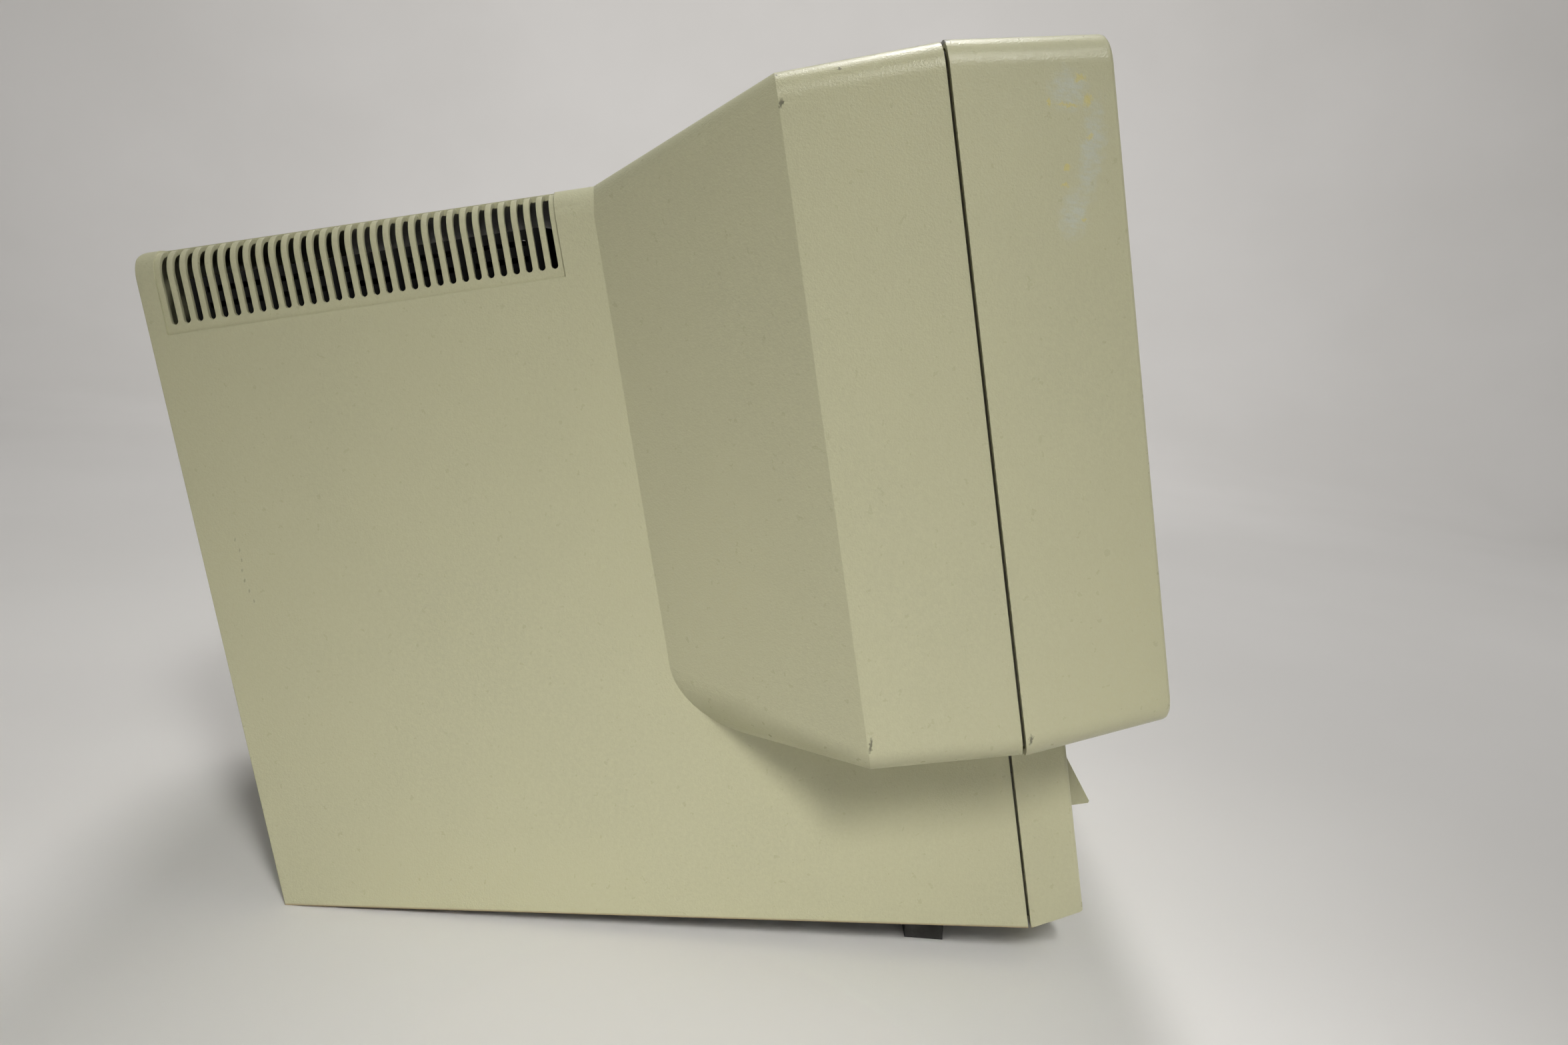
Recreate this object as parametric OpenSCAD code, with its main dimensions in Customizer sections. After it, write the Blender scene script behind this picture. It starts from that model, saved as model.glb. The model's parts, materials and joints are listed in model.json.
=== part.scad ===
// Desktop CRT computer monitor with a wide head on a narrow wedge body.
//
// All sub-parts are drawn in the tube frame: X to the viewer's right, Y to the back along
// the tube axis, Z up in the plane of the screen, origin where the axis meets the case seam.
// stand_on_desk() then tilts the tube frame back and puts the model on the Z = 0 plane.

/* [Head] */
// Width of the head at the seam
head_w = 366; // [356:1:376]
// Height of the head at the seam
head_h = 299; // [295:1:301]
// Depth of the front frame in front of the seam
bezel_depth = 66.5; // [63.5:0.5:68]
// Depth of the straight shoulder behind the seam
shoulder_depth = 66; // [62:1:68]
// Depth of the slope from the shoulder down to the body
slope_depth = 85; // [80:1:90]
// Radius of the long edges of the head and body
edge_r = 12; // [8:1:14]

/* [Body] */
// Width of the body
body_w = 266; // [262:1:270]
// Distance from the seam to the rear face
body_len = 353.5; // [350:0.5:360]
// Height of the body's top above the tube axis
body_top = 119; // [116:1:120]
// Depth of the bottom edge below the tube axis at the seam
keel = 255.3; // [254:0.1:257]
// Angle between the bottom face and the tube axis
base_slope = 10.2; // [9.8:0.1:10.4]
// Depth of the pedestal front in front of the seam
pedestal_depth = 27.5; // [26.5:0.5:28.5]
// Wall thickness of the mouldings
wall = 3; // [2.5:0.1:3.2]
// Width of the shadow gap at the seam
seam_gap = 1.4; // [1.2:0.1:2]

/* [Stance] */
// Backward tilt of the tube axis on the desk
tilt = 13; // [12.8:0.1:13.2]

/* [Vents] */
// Number of slots in each top vent
slot_count = 31; // [20:1:31]
// Spacing of the slots
slot_pitch = 5.66; // [5.4:0.01:5.66]
// Width of each slot
slot_w = 3.1; // [2.4:0.1:3.2]
// Height of the slots on the side wall
slot_drop = 33; // [28:1:35]
// Length of the slots across the top wall
slot_reach = 14; // [13:1:36]

/* [Screen] */
// Half width of the visible glass
view_x = 137; // [134:1:138]
// Half height of the visible glass
view_z = 103; // [100:1:104]
// Radius of the glass face
glass_r = 600; // [560:10:640]
// Distance of the glass centre behind the front face
glass_set = 13; // [11:1:14]

/* [Controls] */
// Width of the control door
door_w = 232; // [226:1:234]
// Height of the control door
door_h = 37; // [36:1:38]
// How far the door's lower lip stands out
door_lip = 11.3; // [9.3:0.5:12.3]
// Number of knobs behind the door
knob_count = 5; // [5:1:5]
// Spacing of the knobs
knob_pitch = 38; // [34:1:40]
// Travel of the power button
button_travel = 4; // [3:0.5:4]

/* [Hidden] */

$fn = 48;
eps = 0.01;
far = 400;                                  // longer than any cut has to be
front_y = -bezel_depth;                     // plane of the front face
shoulder_y = shoulder_depth;                // ridge between shoulder and slope
half_head = head_w / 2;
half_head_h = head_h / 2;
half_body = body_w / 2;
draft = tan(1.75);                          // taper of the shoulder
front_draft = tan(5.3);                     // taper of the front frame
front_edge_r = 3;
slope_foot = 134.3;                         // lowest point of the slope's rear outline
slope_low_r = 34;                           // its lower corner radius
base_rise = tan(base_slope);
rear_keel = keel - body_len * base_rise;    // depth of the rear bottom edge below the axis
pedestal_rise = 5.2;                        // how far the pedestal's front lip is above the keel
glass_y = front_y + glass_set;              // centre of the glass face
view_r = 18;

// Control panel
door_top = -166.6;                          // upper edge of the door opening
door_axis_r = 3;                            // the door's rounded top turns about this radius
door_axis_y = -pedestal_depth + door_axis_r;
door_gap = 1;                               // gap between the door's rounded top and the opening
door_axis_z = door_top - door_gap - door_axis_r;
door_pin_r = 1;
recess_back = -9;                           // front face of the control recess's back wall
knob_z = -186;
knob_r = 6.5;
knob_front = -22;
knob_rear = -13;
shaft_r = 3;
fit = 0.08;                                 // running clearance of shafts and pins
board_y = 3;                                // front face of the control board
button_x = 98;
button_z = -231;
button_w = 22;
button_h = 13;
led_x = 74;
led_r = 2.5;

// Picture tube
panel_x = 161;
panel_z = 123;
panel_r = 26;
panel_back = 30;
lug_x = 167;
lug_z = 129;
lug_y = 6;
lug_post_r = 5;
neck_r = 14.5;
neck_start = 186;
neck_end = 290;
// funnel outline at stations along the axis: [y, half width, half height, corner radius]
funnel_stations = [[panel_back, 161, 123, 26], [50, 154, 118, 34], [80, 128, 102, 50],
    [110, 95, 80, 62], [135, 64, 58, 52], [155, 40, 38, 37], [170, 24, 24, 23.9],
    [178, 17, 17, 16.9], [neck_start, 14.6, 14.6, 14.5]];
cap_slope = atan2(102 - 80, 110 - 80);      // slope of the funnel's top under the anode cap

// Boards
tray_t = 3;
board_t = 1.6;
board_lift = 14;                            // underside of the main board above the tray's bottom
board_top = board_lift + board_t;
board_x = 116;
board_front = 44;
board_rear = 318;
plate_y = 344;                              // front face of the connector plate
plate_t = 1.2;
recess_z = -146;                            // centre of the connector recess
recess_w = 196;
recess_h = 46;
inlet_x = 56;
signal_x = -56;
jack_pitch = 24.99;
jack_bore_r = 1.2;
jack_len = 6;

// Vents
vent_rear = body_len - 12;                  // rearmost slot of the side vents
vent_front = vent_rear - slot_pitch * (slot_count - 1);
panel_margin = 4;                           // edge of the sunk panel beyond the slots
panel_sink = 0.9;
rear_rows = 24;
rear_slot_low = 40;
rear_slot_high = 82;

// Steel shield under the vents
sheet = 1;
shield_x = 124;
shield_front = 176;
shield_rear = 338;
shield_top = 105;
shield_low = 30;
shield_lip = 24;                            // height of the folds at both ends
leg_w = 14;

// Front feet, in the base frame
foot_x = 106.5;
foot_y = 48.5;
foot_w = 24;
foot_len = 19;
foot_bore = 1.7;

// ---------------------------------------------------------------- frames

desk_drop = body_len * sin(tilt) + rear_keel * cos(tilt);
desk_shift = -(body_len * cos(tilt) + body_top * sin(tilt)
    + front_y * cos(tilt) - half_head_h * sin(tilt)) / 2;

module stand_on_desk() {
    translate([0, desk_shift, desk_drop]) rotate([-tilt, 0, 0]) children();
}

// Base frame: origin on the keel under the seam, Y back along the bottom face, Z up from it.
module on_base() {
    translate([0, 0, -keel]) rotate([base_slope, 0, 0]) children();
}

// Extrudes an X-Z outline from y0 back to y1.
module along_y(y0, y1) {
    translate([0, y1, 0]) rotate([90, 0, 0]) linear_extrude(y1 - y0) children();
}

// Extrudes a Y-Z outline from -x to +x.
module along_x(x) {
    translate([-x, 0, 0]) rotate([90, 0, 90]) linear_extrude(2 * x) children();
}

module mirrored_x() {
    children();
    mirror([1, 0, 0]) children();
}

// Cylinder along Y from y0 back to y1.
module rod_y(r, y0, y1) {
    translate([0, y1, 0]) rotate([90, 0, 0]) cylinder(r = r, h = y1 - y0);
}

// ---------------------------------------------------------------- shapes

function arc(cx, cz, r, a0, a1, n) =
    [for (i = [0:n]) let (a = a0 + (a1 - a0) * i / n) [cx + r * cos(a), cz + r * sin(a)]];

// Rounded rectangle from half width, top, bottom and two corner radii, as points.
function outline(hw, zt, zb, rt, rb, n = 12) = concat(
    arc(hw - rt, zt - rt, rt, 0, 90, n),
    arc(rt - hw, zt - rt, rt, 90, 180, n),
    arc(rb - hw, zb + rb, rb, 180, 270, n),
    arc(hw - rb, zb + rb, rb, 270, 360, n));

// Skin over stations [y, half width, top, bottom, top radius, bottom radius], front to back.
module loft(stations, n = 12) {
    rings = len(stations);
    per = 4 * (n + 1);
    points = [for (s = stations)
        each [for (p = outline(s[1], s[2], s[3], s[4], s[5], n)) [p[0], s[0], p[1]]]];
    sides = [for (i = [0:rings - 2]) for (j = [0:per - 1])
        let (k = (j + 1) % per, a = i * per + j, b = i * per + k, c = a + per, d = b + per)
        each [[a, b, c], [b, d, c]]];
    front = [for (j = [per - 1:-1:0]) j];
    back = [for (j = [0:per - 1]) (rings - 1) * per + j];
    polyhedron(points = points, faces = concat([front], sides, [back]), convexity = 6);
}

function unit(v) = v / norm(v);

// Directions across a path that turn with it as little as they can.
function carried(path, i, side) =
    i == len(path) ? [] :
    let (ahead = unit(path[min(i + 1, len(path) - 1)] - path[max(i - 1, 0)]),
         across = unit(side - (side * ahead) * ahead))
    concat([[across, cross(ahead, across)]], carried(path, i + 1, across));

// Round tube of radius r along a list of points.
module tube(path, r, sides = 8) {
    frames = carried(path, 0, [0.31, 0.17, 0.93]);
    count = len(path);
    points = [for (i = [0:count - 1]) each [for (j = [0:sides - 1])
        let (a = 360 * j / sides)
        path[i] + r * (cos(a) * frames[i][0] + sin(a) * frames[i][1])]];
    skin = [for (i = [0:count - 2]) for (j = [0:sides - 1])
        let (k = (j + 1) % sides, a = i * sides + j, b = i * sides + k, c = a + sides, d = b + sides)
        each [[a, c, b], [b, c, d]]];
    first = [for (j = [0:sides - 1]) j];
    last = [for (j = [sides - 1:-1:0]) (count - 1) * sides + j];
    polyhedron(points = points, faces = concat([first], skin, [last]), convexity = 6);
}

// Smooth curve through a short list of points (Catmull-Rom), steps pieces to a span.
function between(p0, p1, p2, p3, t) =
    0.5 * ((2 * p1) + (p2 - p0) * t + (2 * p0 - 5 * p1 + 4 * p2 - p3) * t * t
        + (3 * p1 - p0 - 3 * p2 + p3) * t * t * t);
function smooth(p, steps = 5) = concat(
    [for (i = [0:len(p) - 2]) for (s = [0:steps - 1])
        between(p[max(i - 1, 0)], p[i], p[i + 1], p[min(i + 2, len(p) - 1)], s / steps)],
    [p[len(p) - 1]]);

// Rounded rectangle outline with true arcs, half sizes hw by hh.
module slab(hw, hh, r) {
    square([2 * hw, 2 * (hh - r)], center = true);
    square([2 * (hw - r), 2 * hh], center = true);
    for (x = [-1, 1]) for (z = [-1, 1]) translate([x * (hw - r), z * (hh - r)]) circle(r = r);
}

// Body cross-section: rounded top corners, open-ended below.
module body_section(hw, top, r) {
    translate([-hw, -far]) square([2 * hw, far + top - r]);
    translate([r - hw, -far]) square([2 * (hw - r), far + top]);
    for (x = [-1, 1]) translate([x * (hw - r), top - r]) circle(r = r);
}

// Countersunk or pan head screw pointing along -Z with its head above Z = 0.
module screw(r, length, head_r, head_h) {
    difference() {
        union() {
            translate([0, 0, -length]) cylinder(r = r, h = length + eps);
            cylinder(r = head_r, h = head_h);
        }
        for (a = [0, 90]) rotate([0, 0, a])
            translate([-head_r * 0.6, -0.4, head_h * 0.4]) cube([head_r * 1.2, 0.8, head_h]);
    }
}

// ---------------------------------------------------------------- case

function shoulder_station(y, inset) =
    let (d = draft * y)
    [y, half_head - d - inset, half_head_h - d - inset, -(half_head_h - d - inset),
        edge_r - inset, edge_r - inset];

// Outline of the slope at a fraction t of its depth (0 at the ridge, 1 at the body).
function slope_station(t, inset) =
    let (d = draft * shoulder_y, hw = half_head - d, hz = half_head_h - d)
    [shoulder_y + t * slope_depth,
        hw + t * (half_body - hw) - inset,
        hz + t * (body_top - hz) - inset,
        -hz + t * (hz - slope_foot) + inset,
        edge_r + t * 1.5 - inset,           // rounder than the body's edge, so the two cross cleanly
        edge_r + t * (slope_low_r - edge_r) - inset];

module head_rear(inset, y0) {
    over = 1.06;                            // runs on into the body, so the skins cross cleanly
    loft([shoulder_station(y0, inset), shoulder_station(shoulder_y, inset),
        slope_station(0.5, inset * 1.1), slope_station(over, inset * 1.15)]);
}

module body_rear(inset, y0) {
    back = body_len - inset;
    corner = edge_r * 0.3;
    low = inset > 0 ? far : 0;
    intersection() {
        along_y(y0, back) body_section(half_body - inset, body_top - inset, edge_r - inset);
        along_x(half_head) polygon(concat(
            [[y0, body_top + 1], [y0, -keel + base_rise * y0 - low]],
            [[back, -keel + base_rise * back - low]],
            arc(back - corner, body_top - inset - corner, corner, 0, 90, 6)));
    }
}

module vent_slots() {
    for (i = [0:slot_count - 1]) translate([0, vent_rear - i * slot_pitch, 0]) mirrored_x() {
        translate([half_body - slot_reach, -slot_w / 2, body_top - slot_drop + slot_w / 2])
            cube([slot_reach + 5, slot_w, slot_drop + 5]);
        translate([half_body - 8, 0, body_top - slot_drop + slot_w / 2]) rotate([0, 90, 0])
            cylinder(r = slot_w / 2, h = 13);
    }
}

// Shallow recessed panel around each row of slots.
module vent_panels() {
    rear = vent_rear + panel_margin;
    front = vent_front - panel_margin;
    across = slot_reach + panel_margin;
    down = slot_drop + panel_margin;
    difference() {
        mirrored_x() translate([half_body - across, front, body_top - down])
            cube([across + 5, rear - front, down + 5]);
        along_y(front - 1, rear + 1)
            body_section(half_body - panel_sink, body_top - panel_sink, edge_r - panel_sink);
    }
}

module rear_slots() {
    height = rear_slot_high - rear_slot_low;
    for (i = [0:rear_rows - 1]) translate([(i - (rear_rows - 1) / 2) * slot_pitch, body_len - 6, 0]) {
        translate([-slot_w / 2, 0, rear_slot_low]) cube([slot_w, 10, height]);
        for (z = [rear_slot_low, rear_slot_high]) translate([0, 0, z]) rod_y(slot_w / 2, 0, 10);
    }
}

module connector_recess(grow, depth) {
    translate([0, 0, recess_z]) along_y(depth, body_len + 1)
        slab(recess_w / 2 + grow, recess_h / 2 + grow, 4 + grow);
}

module rear_housing() {
    color([0.80, 0.78, 0.66]) difference() {
        union() {
            difference() {
                union() {
                    head_rear(0, 0);
                    body_rear(0, 0);
                }
                head_rear(wall, -1);
                body_rear(wall, -1);
            }
            intersection() {
                connector_recess(2, plate_y + plate_t + 0.2);
                translate([-far, 0, -far]) cube([2 * far, body_len, 2 * far]);
            }
        }
        connector_recess(0, plate_y - 1);
        vent_slots();
        vent_panels();
        rear_slots();
        rear_screw_wells();
    }
}

// Two screws through the rear wall hold the housing to the tray's upstand.
module rear_screw_places() {
    for (x = [-118, 118]) translate([x, body_len, -rear_keel + 14]) children();
}

module rear_screw_wells() {
    rear_screw_places() rod_y(2.3, -wall - 1, 1);
}

function front_station(y, inset, shrink = 0) =
    let (d = -front_draft * y + shrink)
    [y, half_head + 0.6 - d - inset, half_head_h + 0.6 - d - inset,
        -(half_head_h + 0.6 - d - inset), edge_r - inset - shrink / 2, edge_r - inset - shrink / 2];

// Front frame's outer skin, with a rounded front edge.
module head_front(inset, y1) {
    er = front_edge_r;
    back_to_front = inset > 0
        ? [front_station(front_y + inset, inset), front_station(y1, inset)]
        : concat([for (a = [90, 60, 30, 0])
            front_station(front_y + er * (1 - sin(a)), 0, er * (1 - cos(a)))],
            [front_station(y1, 0)]);
    loft(back_to_front);
}

// Pedestal front, below the head.
module pedestal_front(inset, y1) {
    low = inset > 0 ? -inset : 0;
    front = -pedestal_depth + inset;
    corner = 2.5;
    intersection() {
        along_x(half_body - inset) polygon([[y1, -half_head_h + 10], [y1, -keel - low + base_rise * y1],
            [front, -keel - low + pedestal_rise], [front, -half_head_h + 10]]);
        translate([0, 0, -keel - 5]) linear_extrude(keel) union() {
            translate([corner - half_body, front]) square([2 * (half_body - corner), 60]);
            translate([-half_body, front + corner]) square([2 * half_body, 60]);
            for (x = [-1, 1]) translate([x * (half_body - corner), front + corner]) circle(r = corner);
        }
    }
}

// Tapered opening round the glass; grow thickens it into the lip that carries it.
module screen_opening(grow, y0, y1) {
    flare = 0.27;
    wide = function (y) view_x + grow - flare * (y - glass_y - 20);
    high = function (y) view_z + grow - flare * (y - glass_y - 20);
    loft([for (y = [y0, y1])
        [y, wide(y), high(y), -high(y), view_r + grow, view_r + grow]]);
}

module glass_ball(r) {
    translate([0, glass_y + glass_r, 0]) sphere(r = r, $fn = 160);
}

module control_recess(grow) {
    translate([-door_w / 2 - 0.5 - grow, -pedestal_depth - 1, door_top - door_h - 0.5 - grow])
        cube([door_w + 1 + 2 * grow, recess_back + pedestal_depth + 1 + grow, door_h + 0.5 + 2 * grow]);
}

module knob_places() {
    for (i = [0:knob_count - 1])
        translate([(i - (knob_count - 1) / 2) * knob_pitch, 0, knob_z]) children();
}

module lug_places() {
    for (x = [-1, 1]) for (z = [-1, 1]) translate([x * lug_x, 0, z * lug_z]) children();
}

module board_posts() {
    for (x = [-113, 113]) for (z = [-214, -240]) translate([x, 0, z]) children();
}

// Rim inside the seam: it locates the rear housing and closes the gap to the eye.
module tongue() {
    inset = wall + 0.4;
    rim = 1.4;
    difference() {
        along_y(-7, 5) tongue_outline(inset);
        along_y(-8, 6) tongue_outline(inset + rim);
    }
}

module tongue_outline(inset) {
    low = keel - 4.6 - (inset - wall - 0.4);
    slab(half_head - inset, half_head_h - inset, edge_r - wall);
    translate([inset - half_body, -low]) square([2 * (half_body - inset), low]);
}

module front_frame() {
    color([0.81, 0.79, 0.67]) difference() {
        union() {
            difference() {
                union() {
                    head_front(0, -seam_gap);
                    pedestal_front(0, -seam_gap);
                }
                head_front(wall, 1);
                pedestal_front(wall, 1);
            }
            // lip round the glass
            difference() {
                screen_opening(wall, front_y + 1, glass_y + 34);
                intersection() {
                    glass_ball(glass_r + 0.4);
                    along_y(front_y, 60) slab(view_x + 24, view_z + 24, 20);
                }
            }
            // tube posts, each tied to the side wall by a web
            lug_places() rod_y(lug_post_r, front_y + 1, lug_y);
            intersection() {
                head_front(wall / 2, -seam_gap);
                for (x = [-1, 1]) for (z = [-1, 1])
                    translate([x * (lug_x + 10) - 10, front_y + 1, z * lug_z - 1.2])
                        cube([20, bezel_depth - 8, 2.4]);
            }
            tongue();
            // control recess box
            intersection() {
                control_recess(2);
                pedestal_front(0.5, -1);
            }
            board_posts() rod_y(3.5, -pedestal_depth + 1, board_y);
            // collar that guides the power button
            translate([button_x - button_w / 2 - 2, -pedestal_depth + 1, button_z - button_h / 2 - 2])
                cube([button_w + 4, 11, button_h + 4]);
        }
        screen_opening(0, front_y - 1, glass_y + 60);
        control_recess(0);
        lug_places() rod_y(1.7, -14, 20);
        knob_places() rod_y(shaft_r + 0.4, -30, 0);
        board_posts() rod_y(1.2, board_y - 10, 20);
        translate([button_x - button_w / 2 - 0.3, -pedestal_depth - 5, button_z - button_h / 2 - 0.3])
            cube([button_w + 0.6, 30, button_h + 0.6]);
        translate([led_x, 0, button_z]) rod_y(led_r + 0.1, -40, -10);
        door_pin_bores();
    }
}

module base_tray() {
    length = (body_len - wall - 0.6) / cos(base_slope);
    x = half_body - wall - 0.4;
    color([0.42, 0.42, 0.40]) difference() {
        union() {
            on_base() {
                translate([-x, 0.2, 0]) cube([2 * x, length - 1.2, tray_t]);
                mirrored_x() translate([x - 2.4, 8, 0]) cube([2.4, length - 9, 12]);
                for (y = [60, 150, 240]) translate([-x, y, 0]) cube([2 * x, 2.4, 9]);
                board_standoffs() cylinder(r = 4.5, h = board_lift);
                translate([-x, length - 6, 0]) cube([2 * x, 2.4, 9]);
            }
            // upstands that take the rear screws
            rear_screw_places() translate([-8, -wall - 4.2, -14]) cube([16, 4, 22]);
        }
        rear_screw_places() rod_y(1.6, -20, 2);
        on_base() {
            board_standoffs() translate([0, 0, 4]) cylinder(r = 1.3, h = 20);
            foot_places() translate([0, 0, -1]) cylinder(r = foot_bore, h = 12);
            for (x = [-52, 52]) for (y = [90, 180]) for (i = [0:13])
                translate([x - 26 + i * 4, y, -1]) cube([2, 48, 20]);
        }
    }
}

module board_standoffs() {
    for (x = [-104, 104]) for (y = [board_front + 10, 200, board_rear - 12])
        translate([x, y, 0]) children();
}

module foot_places() {
    for (x = [-foot_x, foot_x]) translate([x, foot_y, 0]) children();
}

module above_desk() {
    intersection() {
        stand_on_desk() children();
        translate([-far, -far, 0]) cube([2 * far, 2 * far, far]);
    }
}

module front_feet() {
    color([0.13, 0.13, 0.13]) above_desk() on_base() difference() {
        foot_places() translate([-foot_w / 2, -foot_len / 2, -24]) cube([foot_w, foot_len, 24]);
        foot_places() translate([0, 0, -40]) {
            cylinder(r = foot_bore, h = 60);
            cylinder(r = 4.5, h = 36);
        }
    }
}

module foot_screws() {
    color([0.7, 0.7, 0.72]) on_base()
        foot_places() translate([0, 0, -4]) rotate([180, 0, 0]) screw(1.6, 9, 4, 2.2);
}

module case_screws() {
    color([0.7, 0.7, 0.72]) rear_screw_places() rotate([-90, 0, 0]) screw(1.55, 9, 4, 2);
}

// ---------------------------------------------------------------- controls

module door_pin_bores() {
    for (s = [-1, 1]) translate([s * (door_w / 2 + 0.5), door_axis_y, door_axis_z])
        rotate([0, 90, 0]) translate([0, 0, s > 0 ? -1 : -4]) cylinder(r = door_pin_r, h = 5);
}

module door_pins() {
    length = 10;
    color([0.72, 0.72, 0.74])
    for (s = [-1, 1]) translate([s * (door_w / 2 + 4.4 - length / 2), door_axis_y, door_axis_z])
        rotate([0, 90, 0]) cylinder(r = door_pin_r, h = length, center = true);
}

module control_door() {
    lip_y = -pedestal_depth - door_lip;
    inner_y = -pedestal_depth + 2.5;
    foot_z = door_top - door_h + 0.6;
    shell = 2;
    hollow_top = door_axis_z - door_axis_r - shell;
    color([0.77, 0.75, 0.64]) difference() {
        along_x(door_w / 2) {
            translate([door_axis_y, door_axis_z]) circle(r = door_axis_r);
            polygon([[-pedestal_depth, door_axis_z], [lip_y, foot_z + 1], [lip_y + 0.6, foot_z],
                [inner_y, foot_z], [inner_y, door_axis_z]]);
        }
        // hollow behind the sloping face
        along_x(door_w / 2 - shell) polygon([[inner_y - 0.3, hollow_top],
            [lip_y + shell + 1, foot_z + shell], [far, foot_z + shell], [far, hollow_top]]);
        for (s = [-1, 1]) translate([s * (door_w / 2), door_axis_y, door_axis_z])
            rotate([0, 90, 0]) cylinder(r = door_pin_r + fit, h = 12.4, center = true);
    }
}

module knob(i) {
    color([0.20, 0.20, 0.20])
    translate([(i - (knob_count - 1) / 2) * knob_pitch, 0, knob_z]) difference() {
        union() {
            rod_y(knob_r, knob_front + 1, knob_rear);
            rod_y(knob_r - 1, knob_front, knob_front + 1);
            rod_y(shaft_r, knob_rear, board_y - 6);
        }
        for (a = [0:15:345]) rotate([0, a, 0]) translate([knob_r + 0.25, 0, 0])
            rod_y(0.55, knob_front + 0.5, knob_rear - 1);
        translate([-0.5, knob_front - 1, 1]) cube([1, 2.2, knob_r]);
    }
}

module potentiometers() {
    color([0.25, 0.35, 0.45]) knob_places() {
        difference() {
            translate([-8, board_y - 7, -8]) cube([16, 7, 16]);
            rod_y(shaft_r + fit, -20, board_y - 5.8);
        }
    }
}

module control_board() {
    color([0.15, 0.35, 0.2]) difference() {
        translate([-118, board_y, -246]) cube([236, board_t, 78]);
        board_posts() rod_y(1.6, 0, 20);
    }
}

module power_button() {
    color([0.75, 0.73, 0.62])
    translate([button_x, 0, button_z]) along_y(-pedestal_depth - 5, -15)
        slab(button_w / 2, button_h / 2, 1.2);
}

module switch_plunger() {
    color([0.15, 0.15, 0.15])
    translate([button_x - 2, -15, button_z - 2]) cube([4, 8, 4]);
}

module power_switch() {
    color([0.1, 0.1, 0.1]) difference() {
        translate([button_x - 9, -8.5, button_z - 7]) cube([18, board_y + 8.5, 14]);
        translate([button_x - 2.3, -9, button_z - 2.3]) cube([4.6, button_travel + 3.5, 4.6]);
    }
}

module power_led() {
    color([0.3, 0.75, 0.3]) translate([led_x, 0, button_z]) {
        rod_y(led_r, -pedestal_depth + 0.5, -17);
        translate([0, -pedestal_depth + 0.5, 0]) sphere(r = led_r);
        rod_y(led_r + 0.5, -17, -16);
        for (x = [-1.27, 1.27]) translate([x, 0, 0]) rod_y(0.3, -16.01, board_y);
    }
}

// ---------------------------------------------------------------- picture tube

module crt_panel() {
    glass = 9;
    color([0.25, 0.29, 0.28]) difference() {
        intersection() {
            glass_ball(glass_r);
            along_y(front_y, panel_back) slab(panel_x, panel_z, panel_r);
        }
        intersection() {
            glass_ball(glass_r - glass);
            along_y(front_y, panel_back + 1) slab(panel_x - glass, panel_z - glass, panel_r - glass);
        }
    }
}

module shadow_mask() {
    ball = glass_r - 9 - 12;
    frame_x = panel_x - 13;
    frame_z = panel_z - 13;
    color([0.2, 0.2, 0.22]) {
        difference() {
            intersection() {
                glass_ball(ball);
                along_y(front_y, 8) slab(frame_x, frame_z, 13);
            }
            glass_ball(ball - 1.2);
            along_y(front_y, 60) slab(frame_x - 1.2, frame_z - 1.2, 11.8);
        }
        difference() {
            intersection() {
                glass_ball(ball);
                along_y(front_y, 60) slab(frame_x, frame_z, 13);
            }
            glass_ball(ball - 1.2);
        }
    }
}

module crt_funnel() {
    glass = 4;
    color([0.12, 0.12, 0.13]) difference() {
        loft([for (s = funnel_stations) [s[0], s[1], s[2], -s[2], s[3], s[3]]]);
        loft([for (s = funnel_stations)
            let (t = min(glass, s[1] - 12.6), y = s[0] == panel_back ? s[0] - 1
                : s[0] == neck_start ? s[0] + 1 : s[0])
            [y, s[1] - t, s[2] - t, t - s[2], s[3] - t, s[3] - t]]);
    }
}

module crt_neck() {
    glass = 1.5;
    color([0.7, 0.75, 0.75]) {
        difference() {
            rod_y(neck_r, neck_start, neck_end);
            rod_y(neck_r - glass, neck_start - 1, neck_end - glass);
        }
        rod_y(9, neck_end, neck_end + 7);
    }
}

module electron_gun() {
    color([0.75, 0.72, 0.65]) {
        difference() {
            union() {
                rod_y(10, 232, 246);
                rod_y(8, 246, 252);
                rod_y(10, 252, 262);
                rod_y(7, 262, 268);
                rod_y(10, 268, 274);
                rod_y(6, 274, 282);
            }
            rod_y(3, 230, 278);
        }
        for (a = [90, 270]) rotate([0, a, 0]) translate([11, 0, 0]) rod_y(1.2, 234, 282);
    }
}

module implosion_band() {
    strap = 1.5;
    color([0.62, 0.62, 0.64]) difference() {
        union() {
            along_y(lug_y, lug_y + 20) slab(panel_x + 0.1 + strap, panel_z + 0.1 + strap, panel_r + 1.6);
            lug_places() rod_y(8, lug_y, lug_y + 2);
            for (x = [-1, 1]) for (z = [-1, 1]) translate([x * lug_x, lug_y, z * lug_z])
                rotate([0, x * z * -45, 0]) translate([x > 0 ? -22 : 0, 0, -7.5]) cube([22, 2, 15]);
        }
        along_y(lug_y - 1, lug_y + 30) slab(panel_x + 0.1, panel_z + 0.1, panel_r + 0.1);
        lug_places() rod_y(2.3, lug_y - 1, lug_y + 3);
    }
}

module crt_screws() {
    color([0.7, 0.7, 0.72]) lug_places()
        translate([0, lug_y + 2, 0]) rotate([-90, 0, 0]) screw(1.65, 16, 4.5, 3);
}

module degauss_coil() {
    hx = 168;
    hz = 130;
    turn_r = 42;
    coil_y = 44;
    join = 0.5;                             // gap where the taped ends of the bundle meet
    ring = [for (p = outline(hx, hz, -hz, turn_r, turn_r, 6)) [p[0], coil_y, p[1]]];
    color([0.1, 0.1, 0.1]) tube(concat(ring, [ring[0] - [0, 0, join]]), 4.5, 10);
}

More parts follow.
